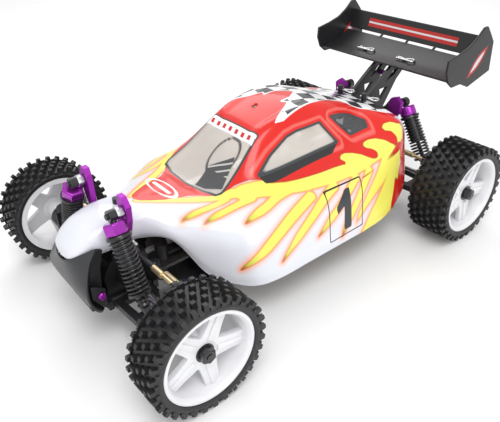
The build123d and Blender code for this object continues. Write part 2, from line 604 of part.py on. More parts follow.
with BuildPart() as core:
    stations = sorted(SECTIONS.items())
    inner = [(y, inset(half, WALL)) for y, half in stations]
    inner[0] = (stations[0][0] + WALL, inner[0][1])
    inner[-1] = (stations[-1][0] + 1, inner[-1][1])
    hull(inner)
with BuildPart() as shell:
    hull(stations)
    add(core.part, mode=Mode.SUBTRACT)
    rod_z(0, -141, 80, 100, 3.1, mode=Mode.SUBTRACT)
    for side in (-1, 1):
        rod_z(side * POST_X, POST_Y, 90, 120, 3.1, mode=Mode.SUBTRACT)
    rod_z(-3, -12, 115, 140, 2.2, mode=Mode.SUBTRACT)       # aerial hole
save(shell.part, "body_shell")


# ---- body clips ----
def clip(x, y, z):
    rod_x(x - 4, x + 8.6, y, z, 0.7)
    rod_x(x - 1, x + 8.6, y + 3.3, z, 0.7)
    with Locations((x + 11, y + 1.2, z)):
        Torus(2.6, 0.7)


with BuildPart() as clips:
    clip(0, -141, 94)
    clip(POST_X, POST_Y, 108.5)
    clip(-POST_X, POST_Y, 108.5)
save(clips.part, "body_clips")
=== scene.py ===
import bpy, bmesh, math
import numpy as np
from mathutils import Matrix, Vector


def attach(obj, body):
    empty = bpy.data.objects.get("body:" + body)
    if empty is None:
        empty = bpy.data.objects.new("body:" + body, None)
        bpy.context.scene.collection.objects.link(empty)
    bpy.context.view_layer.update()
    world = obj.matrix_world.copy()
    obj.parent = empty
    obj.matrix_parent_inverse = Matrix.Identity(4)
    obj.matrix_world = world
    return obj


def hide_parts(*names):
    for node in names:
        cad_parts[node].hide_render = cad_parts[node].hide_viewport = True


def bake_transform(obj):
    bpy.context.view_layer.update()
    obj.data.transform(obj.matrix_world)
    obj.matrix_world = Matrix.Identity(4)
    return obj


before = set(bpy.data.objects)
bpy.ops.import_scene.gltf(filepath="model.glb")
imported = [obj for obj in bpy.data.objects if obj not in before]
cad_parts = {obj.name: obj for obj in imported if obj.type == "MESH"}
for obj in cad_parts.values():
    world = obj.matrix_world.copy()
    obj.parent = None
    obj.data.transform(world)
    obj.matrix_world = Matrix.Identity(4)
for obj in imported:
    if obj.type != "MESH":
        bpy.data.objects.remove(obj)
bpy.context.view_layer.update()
mm = 0.001
axleFront, axleRear, axleHeight = -151.25, 124.25, 42.5   # same axle lines as the frame, in mm


def at(x, y, z):
    return Vector((x, y, z)) * mm


# materials
def mixColour(nodes, links, factor, first, second, blend="MIX"):
    mix = nodes.new("ShaderNodeMix")
    mix.data_type = "RGBA"
    mix.blend_type = blend
    for socket, value in ((mix.inputs[0], factor), (mix.inputs[6], first), (mix.inputs[7], second)):
        if isinstance(value, bpy.types.NodeSocket):
            links.new(value, socket)
        elif isinstance(value, (int, float)):
            socket.default_value = value
        else:
            socket.default_value = (*value, 1)
    return mix.outputs[2]


def maths(nodes, links, operation, first, second=0.0, clamp=False):
    node = nodes.new("ShaderNodeMath")
    node.operation = operation
    node.use_clamp = clamp
    for socket, value in ((node.inputs[0], first), (node.inputs[1], second)):
        if isinstance(value, bpy.types.NodeSocket):
            links.new(value, socket)
        else:
            socket.default_value = value
    return node.outputs[0]


def finish(name, colour, rough=0.5, metal=0.0, coat=0.0, grain=0.02, grainScale=900.0, vary=0.12, patches=120.0):
    # moulded or anodised surface: patchy tone, uneven gloss and a fine grain in the bump
    material = bpy.data.materials.new(name)
    material.use_nodes = True
    nodes, links = material.node_tree.nodes, material.node_tree.links
    shader = nodes["Principled BSDF"]
    coord = nodes.new("ShaderNodeTexCoord").outputs["Object"]
    tone = nodes.new("ShaderNodeTexNoise")
    tone.inputs["Scale"].default_value = patches
    tone.inputs["Detail"].default_value = 4
    fine = nodes.new("ShaderNodeTexNoise")
    fine.inputs["Scale"].default_value = grainScale
    fine.inputs["Detail"].default_value = 3
    for texture in (tone, fine):
        links.new(coord, texture.inputs["Vector"])
    low = [c * (1 - vary) for c in colour]
    high = [min(c * (1 + vary) + 0.002, 1) for c in colour]
    links.new(mixColour(nodes, links, tone.outputs[0], low, high), shader.inputs["Base Color"])
    spread = maths(nodes, links, "MULTIPLY_ADD", fine.outputs[0], 0.16)
    spread.node.inputs[2].default_value = rough - 0.08
    links.new(spread, shader.inputs["Roughness"])
    shader.inputs["Metallic"].default_value = metal
    shader.inputs["Coat Weight"].default_value = coat
    shader.inputs["Coat Roughness"].default_value = 0.08
    bump = nodes.new("ShaderNodeBump")
    bump.inputs["Strength"].default_value = grain * 10
    bump.inputs["Distance"].default_value = 0.0001
    links.new(fine.outputs[0], bump.inputs["Height"])
    links.new(bump.outputs[0], shader.inputs["Normal"])
    return material


def banded(material, colour, axis, low, high, metal=None, mirrored=False):
    # second colour between two planes of the row frame, in mm
    nodes, links = material.node_tree.nodes, material.node_tree.links
    shader = nodes["Principled BSDF"]
    split = nodes.new("ShaderNodeSeparateXYZ")
    links.new(nodes.new("ShaderNodeTexCoord").outputs["Object"], split.inputs[0])
    place = split.outputs[axis]
    if mirrored:
        place = maths(nodes, links, "ABSOLUTE", place)
    above = maths(nodes, links, "GREATER_THAN", place, low * mm)
    below = maths(nodes, links, "LESS_THAN", place, high * mm)
    inside = maths(nodes, links, "MULTIPLY", above, below)
    old = shader.inputs["Base Color"].links[0].from_socket
    links.new(mixColour(nodes, links, inside, old, colour), shader.inputs["Base Color"])
    if metal is not None:
        links.new(maths(nodes, links, "MULTIPLY", inside, metal), shader.inputs["Metallic"])
    return material


black = finish("nylonBlack", (0.012, 0.012, 0.013), 0.42, grain=0.03)
softBlack = finish("plateBlack", (0.014, 0.014, 0.016), 0.5, grain=0.04)
bumperGrey = finish("bumperGrey", (0.032, 0.033, 0.036), 0.38, grain=0.03, vary=0.08)
wingGrey = finish("wingGrey", (0.012, 0.012, 0.0135), 0.36, grain=0.02, vary=0.08)
anodised = (0.40, 0.035, 0.46)
purple = finish("anodisedPurple", anodised, 0.26, metal=0.8, coat=0.3, grain=0.01)
steel = finish("steel", (0.55, 0.55, 0.57), 0.3, metal=1.0, grain=0.01)
chrome = finish("clipWire", (0.75, 0.75, 0.77), 0.18, metal=1.0, grain=0.0)
brass = finish("brass", (0.75, 0.55, 0.25), 0.28, metal=1.0, grain=0.01)
linkBlack = banded(finish("linkFinish", (0.02, 0.02, 0.022), 0.4, grain=0.02), (0.8, 0.66, 0.4), 0, 47, 70, 0.9, True)
coilBlack = finish("coilBlack", (0.012, 0.012, 0.014), 0.3, coat=0.3, grain=0.01)
shockBlack = finish("shockBlack", (0.015, 0.015, 0.017), 0.3, coat=0.2, grain=0.01)
rubber = finish("rubber", (0.012, 0.012, 0.0135), 0.46, grain=0.05, grainScale=1400, vary=0.3, patches=60)
rimWhite = finish("rimWhite", (0.74, 0.74, 0.76), 0.32, coat=0.25, grain=0.005, vary=0.02)
cellWrap = finish("cellWrap", (0.03, 0.08, 0.3), 0.3, coat=0.3, grain=0.01)
gearWhite = finish("gearWhite", (0.6, 0.6, 0.58), 0.45, grain=0.01)
crossPost = {"behind": 143, "half": 7.3}   # the purple post between the rear tower and the wing


def lugPurple(name, low, high, reach):
    # tower plate: purple where it stands outside the gearbox, black elsewhere
    material = finish(name, (0.012, 0.012, 0.013), 0.42, grain=0.02)
    nodes, links = material.node_tree.nodes, material.node_tree.links
    shader = nodes["Principled BSDF"]
    split = nodes.new("ShaderNodeSeparateXYZ")
    links.new(nodes.new("ShaderNodeTexCoord").outputs["Object"], split.inputs[0])
    across = maths(nodes, links, "ABSOLUTE", split.outputs[0])
    plate = maths(nodes, links, "MULTIPLY", maths(nodes, links, "GREATER_THAN", split.outputs[1], low * mm),
                  maths(nodes, links, "LESS_THAN", split.outputs[1], high * mm))
    plate = maths(nodes, links, "MULTIPLY", plate, maths(nodes, links, "GREATER_THAN", across, reach * mm))
    post = maths(nodes, links, "MULTIPLY",
                 maths(nodes, links, "GREATER_THAN", split.outputs[1], crossPost["behind"] * mm),
                 maths(nodes, links, "LESS_THAN", across, crossPost["half"] * mm))
    mask = maths(nodes, links, "ADD", plate, post, clamp=True)
    old = shader.inputs["Base Color"].links[0].from_socket
    links.new(mixColour(nodes, links, mask, old, anodised), shader.inputs["Base Color"])
    links.new(maths(nodes, links, "MULTIPLY", mask, 0.8), shader.inputs["Metallic"])
    return material


towerFinish = lugPurple("towerFinish", -150.4, -145.9, 20)
rearTowerFinish = lugPurple("rearTowerFinish", 118.9, 123.1, 26)


wingBars = {"half": 50, "along": (171, 181), "red": (144.4, 151.6), "white": (147.2, 148.8)}
wingLens = {"centre": (0, 171, 137), "turn": 42, "length": 17, "width": 4.5, "outside": 72.3}


def wingMarks(material):
    # plain decoration: red and white bars along the flap, a slim lens on the end plates
    nodes, links = material.node_tree.nodes, material.node_tree.links
    shader = nodes["Principled BSDF"]
    split = nodes.new("ShaderNodeSeparateXYZ")
    coord = nodes.new("ShaderNodeTexCoord").outputs["Object"]
    links.new(coord, split.inputs[0])
    across = maths(nodes, links, "ABSOLUTE", split.outputs[0])

    def between(value, low, high):
        return maths(nodes, links, "MULTIPLY", maths(nodes, links, "GREATER_THAN", value, low * mm),
                     maths(nodes, links, "LESS_THAN", value, high * mm))

    flap = maths(nodes, links, "MULTIPLY", between(across, -1, wingBars["half"]),
                 between(split.outputs[1], *wingBars["along"]))
    red = maths(nodes, links, "MULTIPLY", flap, between(split.outputs[2], *wingBars["red"]))
    white = maths(nodes, links, "MULTIPLY", flap, between(split.outputs[2], *wingBars["white"]))
    turn = nodes.new("ShaderNodeMapping")
    turn.vector_type = "TEXTURE"
    turn.inputs["Location"].default_value = at(*wingLens["centre"])
    turn.inputs["Rotation"].default_value = (math.radians(wingLens["turn"]), 0, 0)
    links.new(coord, turn.inputs["Vector"])
    spot = nodes.new("ShaderNodeSeparateXYZ")
    links.new(turn.outputs[0], spot.inputs[0])
    along = maths(nodes, links, "MULTIPLY", spot.outputs[1], 1 / (wingLens["length"] * mm))
    along = maths(nodes, links, "POWER", along, 2.0)
    wide = maths(nodes, links, "MULTIPLY", spot.outputs[2], 1 / (wingLens["width"] * mm))
    lens = maths(nodes, links, "ADD", along, maths(nodes, links, "ABSOLUTE", wide))
    plates = maths(nodes, links, "GREATER_THAN", across, wingLens["outside"] * mm)
    red = maths(nodes, links, "ADD", red, maths(nodes, links, "MULTIPLY", plates, maths(
        nodes, links, "LESS_THAN", lens, 1.0)), clamp=True)
    white = maths(nodes, links, "ADD", white, maths(nodes, links, "MULTIPLY", plates, maths(
        nodes, links, "LESS_THAN", lens, 0.5)), clamp=True)
    old = shader.inputs["Base Color"].links[0].from_socket
    marked = mixColour(nodes, links, red, old, (0.45, 0.015, 0.012))
    links.new(mixColour(nodes, links, white, marked, (0.62, 0.62, 0.63)), shader.inputs["Base Color"])
    return material


wingPaint = wingMarks(wingGrey)
print("materials ready")


# CAD nodes that keep their own shape
def dress(node, material):
    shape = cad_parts[node]
    if not shape.material_slots:
        shape.data.materials.append(material)
    for place in shape.material_slots:
        place.material = material


plainNodes = {
    "chassis_plate": softBlack, "front_gearbox": black, "rear_gearbox": black, "front_tower": towerFinish,
    "rear_tower": rearTowerFinish, "battery": cellWrap, "electronics": softBlack, "steering_servo": softBlack,
    "servo_horn": black, "servo_link": black, "steering_crank_left": black, "steering_crank_right": black,
    "drag_link": black, "centre_shaft": gearWhite, "pinion": brass, "motor": steel}
cornerNodes = {"arm": black, "camber_link": linkBlack, "dogbone": steel, "shock_body": shockBlack,
               "shock_rod": shockBlack}
for node, material in plainNodes.items():
    dress(node, material)
for side in ("left", "right"):
    for end in ("front", "rear"):
        for part, material in cornerNodes.items():
            dress(f"{end}_{part}_{side}", material)
    for part, material in (("caster_block", black), ("hub_carrier", black), ("steering_knuckle", black),
                           ("tie_rod", linkBlack)):
        dress(f"{part}_{side}", material)
print("frame nodes dressed")


# shared makers
def place(name, mesh, material, body, slot, replaces=(), smooth=True, bevel=None):
    piece = bpy.data.objects.new(name, mesh)
    bpy.context.collection.objects.link(piece)
    if material is not None:
        mesh.materials.append(material)
    if smooth:
        mesh.polygons.foreach_set("use_smooth", [True] * len(mesh.polygons))
        mesh.set_sharp_from_angle(angle=math.radians(38))
    if bevel:
        tool = piece.modifiers.new("edges", "BEVEL")
        tool.width = bevel * mm
        tool.segments = 2
        tool.limit_method = "ANGLE"
    if body:
        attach(piece, body)
    if replaces:
        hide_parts(*replaces)
    return piece


def toMesh(bm, name):
    bmesh.ops.remove_doubles(bm, verts=bm.verts, dist=1e-7)
    bmesh.ops.recalc_face_normals(bm, faces=bm.faces)
    mesh = bpy.data.meshes.new(name)
    bm.to_mesh(mesh)
    bm.free()
    return mesh


def lathe(bm, profile, centre, steps=72):
    # closed ring turned about an X axis: profile is (x, radius) pairs in mm
    verts = [bm.verts.new(at(x, centre[0], centre[1] + r)) for x, r in profile]
    edges = [bm.edges.new((verts[k], verts[(k + 1) % len(verts)])) for k in range(len(verts))]
    bmesh.ops.spin(bm, geom=verts + edges, cent=at(0, *centre), axis=(1, 0, 0), dvec=(0, 0, 0),
                   angle=2 * math.pi, steps=steps, use_merge=True, use_duplicate=False)


def slab(bm, outline, spot, normalAxis, thick):
    # flat outline pushed out along one axis: outline points are the two other coordinates in order
    others = [k for k in range(3) if k != normalAxis]
    verts = []
    for first, second in outline:
        point = [0, 0, 0]
        point[others[0]], point[others[1]], point[normalAxis] = first, second, spot
        verts.append(bm.verts.new(at(*point)))
    face = bm.faces.new(verts)
    grown = bmesh.ops.extrude_face_region(bm, geom=[face])
    push = [0, 0, 0]
    push[normalAxis] = thick
    moved = [g for g in grown["geom"] if isinstance(g, bmesh.types.BMVert)]
    bmesh.ops.translate(bm, verts=moved, vec=at(*push))


def wire(name, points, radius, closed=False, smooth=True):
    curve = bpy.data.curves.new(name, "CURVE")
    curve.dimensions = "3D"
    curve.bevel_depth = radius * mm
    curve.bevel_resolution = 3
    curve.resolution_u = 6
    spline = curve.splines.new("NURBS" if smooth else "POLY")
    spline.points.add(len(points) - 1)
    for point, spot in zip(spline.points, points):
        point.co = (*at(*spot), 1)
    spline.use_cyclic_u = closed
    if smooth:
        spline.order_u = 3
        spline.use_endpoint_u = not closed
    curve.use_fill_caps = True
    holder = bpy.data.objects.new(name + "Curve", curve)
    bpy.context.collection.objects.link(holder)
    bpy.context.view_layer.update()
    mesh = bpy.data.meshes.new_from_object(holder.evaluated_get(bpy.context.evaluated_depsgraph_get()))
    bpy.data.objects.remove(holder)
    mesh.name = name
    return mesh


# body shell
shellSections = {   # half sections from the lower edge to the roof centre, in mm
    -187.4: [(1, 71.5), (1.4, 72), (1.6, 73), (1.4, 74), (1, 74.6), (0.5, 75), (0, 75.2)],
    -184.0: [(10, 69.6), (12, 72), (12.8, 74.8), (11.8, 77), (9, 78.6), (4.6, 79.4), (0, 79.6)],
    -172.0: [(15, 69), (18, 73), (19, 78), (17.6, 83), (13.5, 86.2), (7, 88), (0, 88.4)],
    -155.0: [(16.5, 69), (19.6, 74), (20.4, 80), (18.8, 86.5), (14.5, 90.5), (8, 92.3), (0, 93)],
    -135.0: [(16, 68), (20, 74), (21, 81), (19.5, 87), (15, 90), (8, 91), (0, 91.5)],
    -120.0: [(35, 68.5), (37.5, 71.5), (37, 77), (30, 84), (20, 88.5), (10, 89.8), (0, 90)],
    -104.0: [(50, 40), (55, 50), (54, 68), (45, 81), (28, 87), (13, 88.5), (0, 88.5)],
    -91.0: [(66, 33), (70, 44), (67, 66), (53, 81), (33, 86.5), (16, 87.5), (0, 87.5)],
    -79.0: [(79, 33), (80, 44), (74, 68), (58, 82), (36, 88), (18, 88), (0, 87)],
    -60.0: [(83.5, 33.5), (82.5, 45), (76, 70), (56, 85), (34, 98), (18, 99.5), (0, 99.8)],
    -35.0: [(84, 34), (82.5, 45), (75, 72), (52, 89), (29.5, 116), (15, 118), (0, 118.5)],
    -15.0: [(84, 34), (82.5, 45), (74.5, 74), (49, 91), (31, 123), (17, 125.3), (0, 126)],
    8.0: [(84, 34), (82.5, 45), (74, 76), (47, 92.5), (31.5, 126), (18, 129.5), (0, 130.5)],
    30.0: [(84, 34), (82.5, 46), (73.5, 78), (46, 94), (31, 123.5), (18, 127.5), (0, 128.5)],
    55.0: [(83, 36), (81, 48), (72, 82), (46, 95), (30, 115), (18, 120), (0, 121)],
    75.0: [(78, 41), (76, 56), (69, 85), (50, 96), (30, 107.5), (18, 112), (0, 113)],
    92.0: [(71, 50), (67.5, 68), (64, 86), (57, 99), (38, 103.5), (20, 106), (0, 107)],
    104.0: [(58, 80), (57, 87), (55, 93), (50, 98), (36, 101.5), (19, 103.5), (0, 104)],
}
shellLook = {"across": 216, "along": 200, "wall": 1.2, "recess": 0.9}
windshield = [(-27, -34), (27, -34), (35.5, -76), (33, -80), (20, -82.5), (0, -84), (-20, -83.5), (-34, -80),
              (-36, -75)]   # x, y
sideWindow = [(-49, 96.5), (-33, 106), (-14, 114.5), (-4, 116), (21, 115.5), (35, 96.5)]           # y, z
rearWindow = [(34, 116), (46, 114), (57, 110.5), (72, 102.5), (70, 99), (50, 97.5)]
louvrePanel = [(5, -65), (22, -52), (33, -74), (19, -80), (8, -81)]                              # x, y
hoopRing = {"centre": (12, -56), "size": (12.5, 13.5), "thick": 1.0}
bonnetBadge = {"centre": (-3, -103), "size": (18, 6.5), "ring": 0.7, "bar": (10.5, 1.5)}
windowStrip = [(-49, 97), (-46, 91.5), (-38, 90.5), (24, 91.5), (36, 97)]                           # y, z
numberPlate = [(-8, 78), (29, 78.5), (24.5, 41.5), (-11, 40.5)]
numberOne = [(15.5, 75.5), (10.5, 75.5), (-1.5, 65), (-0.5, 59.5), (7.0, 64), (4.8, 44.5), (13, 44.5)]
redTop = [(-129, -2), (-126, 5), (-120, 9), (-111, 14), (-102, 17), (-94, 19), (-86, 25), (-80, 33), (-74, 36),
          (-66, 38), (-56, 42), (-48, 46), (-42, 50), (-30, 52.5), (-14, 54.5), (2, 56.5), (16, 58), (24, 59.5),
          (27, 60.5), (28, 58.5), (26, 54.5), (29, 52), (34, 52), (40, 55), (45, 60), (47.5, 64.5), (50, 67.5),
          (53, 69), (56.5, 68), (58, 65), (56.5, 61), (53.5, 58), (53, 54.5), (56, 52), (62, 52), (68, 54.5),
          (73, 60), (75.5, 64.5), (79, 67), (83, 66.5), (85, 63), (83.5, 58), (80, 54.5), (79.5, 51), (83, 49.5),
          (88, 52), (92, 56.5), (97, 58), (99, 54), (97, 49), (106, 45), (106, -2)]   # y, x
redTail = [(64, 44), (69, 54), (72, 63), (77, 58), (79, 66), (84, 72), (83, 79), (88, 86), (104, 92), (104, 30),
           (62, 30)]                                                                                # y, z
checkTop = [(-19, 28.5), (-6, 21), (6, 15), (3, 9.5), (14, 9), (24, 2), (29, -2), (106, -2), (106, 44), (96, 40),
            (84, 31), (60, 21), (42, 22.5), (28, 26), (8, 28.5), (-12, 30.5)]                            # y, x
flames = [   # tip, middle, root, and the width at the root
    ((37, -113, 82), (38, -98, 86), (42, -76, 87), 2.6),
    ((48, -101, 80), (49, -88, 84), (52, -62, 87), 2.8),
    ((64, -78, 77), (62, -62, 83), (59, -30, 87), 3.3),
    ((71, -89, 48), (79, -70, 64), (70, -20, 82), 4.0),
    ((82.5, -60, 46), (80.5, -42, 61), (71, 3, 81), 3.6),
    ((82.5, -22, 50), (80, -6, 60), (72, 26, 79), 3.2),
    ((83, 2, 40), (80, 14, 58), (72, 40, 79), 3.4),
]
yellowBands = [
    ([(4, -129, 91), (13, -118, 90), (19, -104, 88.5), (25, -92, 87.5), (36, -80, 88), (46, -66, 90)], 1.5, 4.5),
    ([(46, -66, 90), (54, -46, 89), (60, -20, 87), (64, 5, 85), (68, 30, 82), (66, 60, 86), (60, 86, 96)], 6.0, 9.5),
    ([(82, 34, 44), (79, 45, 56), (74, 62, 68), (68, 82, 80)], 15.0, 17.0),
    ([(83, 26, 37), (82, 40, 42), (80, 60, 50)], 6.0, 13.0),
    ([(50, -20, 90), (55, 20, 88), (60, 50, 90), (57, 84, 98)], 5.0, 10.0)]
gapWedge = ([(84, 10, 30), (82, 30, 48), (75, 62, 71)], 9.0, 0.3)
redStreak = ([(74, 31, 77), (71, 58, 79), (67, 86, 85)], 0.3, 2.6)
aerialHole = {"centre": (-3, -12), "radius": 2.3}


def spline1d(values, fraction):
    # smooth curve through every control value; fraction runs 0..1
    count = len(values)
    t = np.clip(np.asarray(fraction) * (count - 1), 0, count - 1 - 1e-9)
    k = t.astype(int)
    u = (t - k)[:, None]
    padded = np.vstack([2 * values[0] - values[1], values, 2 * values[-1] - values[-2]])
    a, b, c, d = padded[k], padded[k + 1], padded[k + 2], padded[k + 3]
    return 0.5 * (2 * b + (c - a) * u + (2 * a - 5 * b + 4 * c - d) * u ** 2 + (3 * b - a - 3 * c + d) * u ** 3)


def polygonDistance(u, v, corners):
    # signed distance in mm to a closed outline, negative inside
    points = np.array(corners, float)
    best = np.full(len(u), 1e9)
    inside = np.zeros(len(u), bool)
    for (x0, y0), (x1, y1) in zip(points, np.roll(points, -1, 0)):
        dx, dy = x1 - x0, y1 - y0
        t = np.clip(((u - x0) * dx + (v - y0) * dy) / (dx * dx + dy * dy), 0, 1)
        best = np.minimum(best, np.hypot(u - x0 - t * dx, v - y0 - t * dy))
        crosses = (y0 > v) != (y1 > v)
        with np.errstate(divide="ignore", invalid="ignore"):
            inside ^= crosses & (u < (x1 - x0) * (v - y0) / (y1 - y0) + x0)
    return np.where(inside, -best, best)


def strokeDistance(points, path, startWidth, endWidth, sharp=1.0):
    # signed distance to a stroke in space whose half width grows along it
    path = np.array(path, float)
    lengths = np.linalg.norm(np.diff(path, axis=0), axis=1)
    total, done = lengths.sum(), 0.0
    best = np.full(len(points), 1e9)
    for k, length in enumerate(lengths):
        step = path[k + 1] - path[k]
        t = np.clip(((points - path[k]) @ step) / (length * length), 0, 1)
        reach = startWidth + (endWidth - startWidth) * np.clip((done + t * length) / total * sharp, 0, 1) ** 0.7
        best = np.minimum(best, np.linalg.norm(points - path[k] - t[:, None] * step, axis=1) - reach)
        done += length
    return best


def onSkin(path, points):
    # every corner of a stroke is moved to the nearest place on the skin, then the stroke is evened out
    laid = np.array([points[np.argmin(((points - np.array(spot, float)) ** 2).sum(1))] for spot in path])
    for _ in range(3):
        laid[1:-1] = 0.25 * laid[:-2] + 0.5 * laid[1:-1] + 0.25 * laid[2:]
    return laid


def bend(tip, middle, root, count=14):
    t = np.linspace(0, 1, count)[:, None]
    tip, middle, root = np.array(tip, float), np.array(middle, float), np.array(root, float)
    return (1 - t) ** 2 * tip + 2 * t * (1 - t) * middle + t ** 2 * root


def shellMesh():
    across, along = shellLook["across"], shellLook["along"]
    stations = sorted(shellSections)
    rings = []
    for y in stations:
        half = np.array(shellSections[y], float)
        ring = np.vstack([half * (1, 1), (half * (-1, 1))[-2::-1]])
        rings.append(spline1d(ring, np.linspace(0, 1, across + 1)))
    rings = np.array(rings)
    yValues = np.array(stations)[:, None]
    rows = np.linspace(0, 1, along + 1)
    yRows = spline1d(yValues, rows)[:, 0]
    flat = spline1d(rings.reshape(len(stations), -1), rows).reshape(along + 1, across + 1, 2)
    bm = bmesh.new()
    bmesh.ops.create_grid(bm, x_segments=across, y_segments=along, size=1)
    for vert in bm.verts:
        i = round((vert.co.x + 1) / 2 * across)
        j = round((vert.co.y + 1) / 2 * along)
        x, z = flat[j, i]
        vert.co = at(x, yRows[j], z)
    holeX, holeY = (v * mm for v in aerialHole["centre"])
    reach = aerialHole["radius"] * mm

    def fromHole(vert):
        return math.hypot(vert.co.x - holeX, vert.co.y - holeY)

    bmesh.ops.delete(bm, geom=[v for v in bm.verts if fromHole(v) < reach * 0.8], context="VERTS")
    for vert in bm.verts:                            # the ragged edge is drawn onto a circle
        distance = fromHole(vert)
        if vert.is_boundary and distance < 2.2 * reach:
            vert.co.x = holeX + (vert.co.x - holeX) * reach / distance
            vert.co.y = holeY + (vert.co.y - holeY) * reach / distance
    bmesh.ops.recalc_face_normals(bm, faces=bm.faces)
    mesh = bpy.data.meshes.new("shellSkin")
    bm.to_mesh(mesh)
    bm.free()
    return mesh


def shellFields(mesh):
    count = len(mesh.vertices)
    points = np.zeros(count * 3)
    mesh.vertices.foreach_get("co", points)
    points = points.reshape(-1, 3) / mm
    normals = np.zeros(count * 3)
    mesh.vertices.foreach_get("normal", normals)
    normals = normals.reshape(-1, 3)
    x, y, z = points.T
    wide = np.abs(x)
    folded = np.stack([wide, y, z], 1)
    far = 30.0
    screen = np.where((y < -25) & (z > 80), polygonDistance(x, y, windshield), far)
    pane = np.minimum(polygonDistance(y, z, sideWindow), polygonDistance(y, z, rearWindow))
    pane = np.where(wide > 29, pane, far)
    glass = np.minimum(screen, pane)
    yellow = np.full(count, 1e9)
    tipShade = np.zeros(count)
    for tip, middle, root, width in flames:          # leaf with a pointed dark end
        tongue = onSkin(bend(tip, middle, root), folded)
        yellow = np.minimum(yellow, strokeDistance(folded, tongue, 0.3, width, 3.2))
        tipShade = np.maximum(tipShade, 1 - np.linalg.norm(folded - np.array(tip, float), axis=1) / 21)
    for path, start, end in yellowBands:
        yellow = np.minimum(yellow, strokeDistance(folded, onSkin(path, folded), start, end))
    yellow = np.maximum(yellow, -strokeDistance(folded, *gapWedge))
    red = np.where(z > 80, polygonDistance(y, wide, redTop), far)
    red = np.minimum(red, np.where(z < 96, polygonDistance(y, z, redTail), far))
    red = np.minimum(red, strokeDistance(folded, *redStreak))
    panel = np.where((y < -25) & (z > 80), polygonDistance(x, y, louvrePanel), far)
    around, thick = hoopRing["size"], hoopRing["thick"]
    turned = np.hypot((x - hoopRing["centre"][0]) / around[0], (y - hoopRing["centre"][1]) / around[1])
    hoop = np.where((y < -25) & (z > 80), np.abs(turned - 1) * 12 - thick, far)
    acrossBadge, alongBadge = x - bonnetBadge["centre"][0], y - bonnetBadge["centre"][1]
    oval = np.hypot(acrossBadge / bonnetBadge["size"][0], alongBadge / bonnetBadge["size"][1])
    bar = np.hypot(np.maximum(np.abs(acrossBadge) - bonnetBadge["bar"][0], 0), alongBadge) - bonnetBadge["bar"][1]
    emblem = np.minimum(np.abs(oval - 1) * bonnetBadge["size"][1] - bonnetBadge["ring"], bar)
    emblem = np.where((y < -80) & (z > 80), emblem, far)
    strip = np.where((wide > 40) & (z > 85), polygonDistance(y, z, windowStrip), far)
    onSide = wide > 55
    plate = np.where(onSide, polygonDistance(y, z, numberPlate), far)
    middle = np.mean([spot[0] for spot in numberPlate])
    digit = np.where(onSide, polygonDistance(np.where(x > 0, y, 2 * middle - y), z, numberOne), far)
    check = np.where(z > 95, polygonDistance(y, wide, checkTop), far)
    fields = {"glassEdge": glass, "screenEdge": screen, "yellowEdge": yellow, "redEdge": red,
              "plateEdge": plate, "digitEdge": digit, "checkEdge": check, "panelEdge": panel,
              "hoopEdge": hoop, "emblemEdge": emblem, "stripEdge": strip, "tipShade": np.clip(tipShade, 0, 1)}
    sunk = np.clip(-pane / 2.2, 0, 1)[:, None] * shellLook["recess"]
    mesh.vertices.foreach_set("co", ((points - normals * sunk) * mm).ravel())
    for name, values in fields.items():
        attribute = mesh.attributes.new(name, "FLOAT", "POINT")
        attribute.data.foreach_set("value", values.astype(np.float32))


